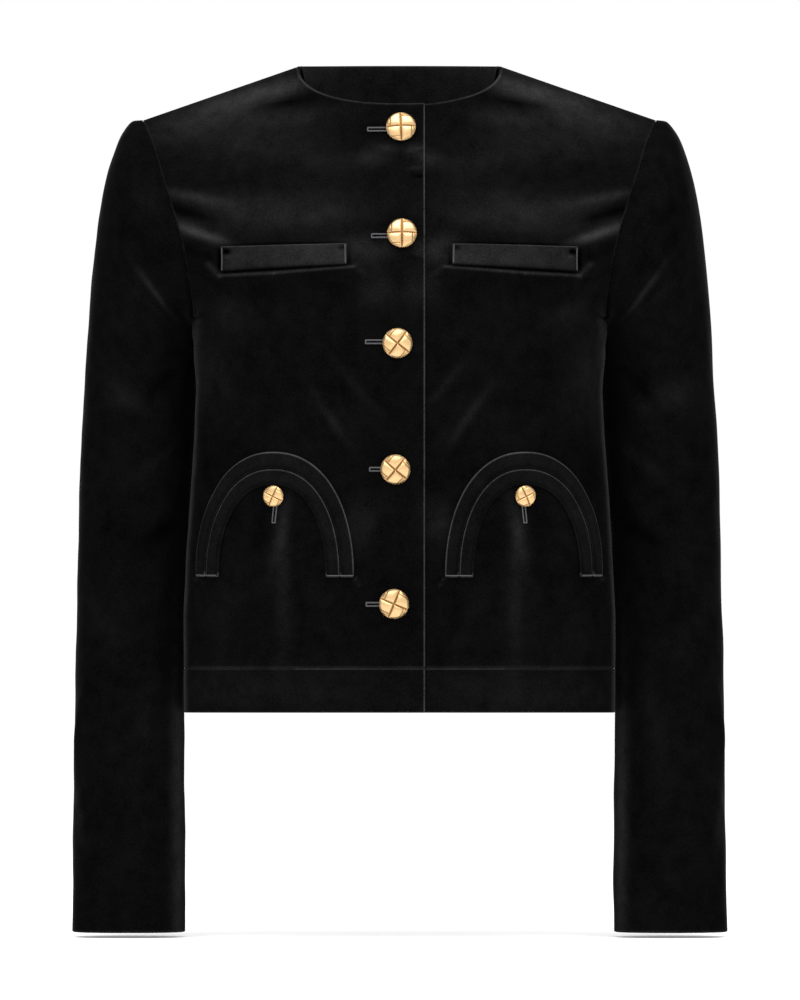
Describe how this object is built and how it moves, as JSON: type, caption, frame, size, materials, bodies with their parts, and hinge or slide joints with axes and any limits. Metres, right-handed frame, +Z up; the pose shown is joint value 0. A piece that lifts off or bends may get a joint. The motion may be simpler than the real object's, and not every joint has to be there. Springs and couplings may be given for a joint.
{
  "type": "bolero jacket",
  "caption": "Cropped, collarless long-sleeved jacket in black velvet with a hem band, chest welts, arched pockets and gold woven-look buttons, in its hollow worn form.",
  "frame": {"origin": "midway between the two side neck points, where the jacket hangs on the shoulders", "axes": "+Z up, the front faces -Y, +X towards the wearer's left sleeve"},
  "size_m": [0.5018, 0.221, 0.6656],
  "materials": {
    "black_velvet": "matte",
    "gold_button": "satin"
  },
  "bodies": {
    "root": {"front_right": "black_velvet", "front_left": "black_velvet", "back": "black_velvet", "hem_band_right": "black_velvet", "hem_band_left": "black_velvet", "hem_band_back": "black_velvet", "back_neck_facing": "black_velvet", "sleeve_right": "black_velvet", "chest_welt_right": "black_velvet", "pocket_outer_band_right": "black_velvet", "pocket_inner_band_right": "black_velvet", "sleeve_left": "black_velvet", "chest_welt_left": "black_velvet", "pocket_outer_band_left": "black_velvet", "pocket_inner_band_left": "black_velvet", "pocket_button_right": "gold_button", "pocket_button_left": "gold_button", "front_button_1": "gold_button", "front_button_2": "gold_button", "front_button_3": "gold_button", "front_button_4": "gold_button", "front_button_5": "gold_button"}
  },
  "joints": []
}
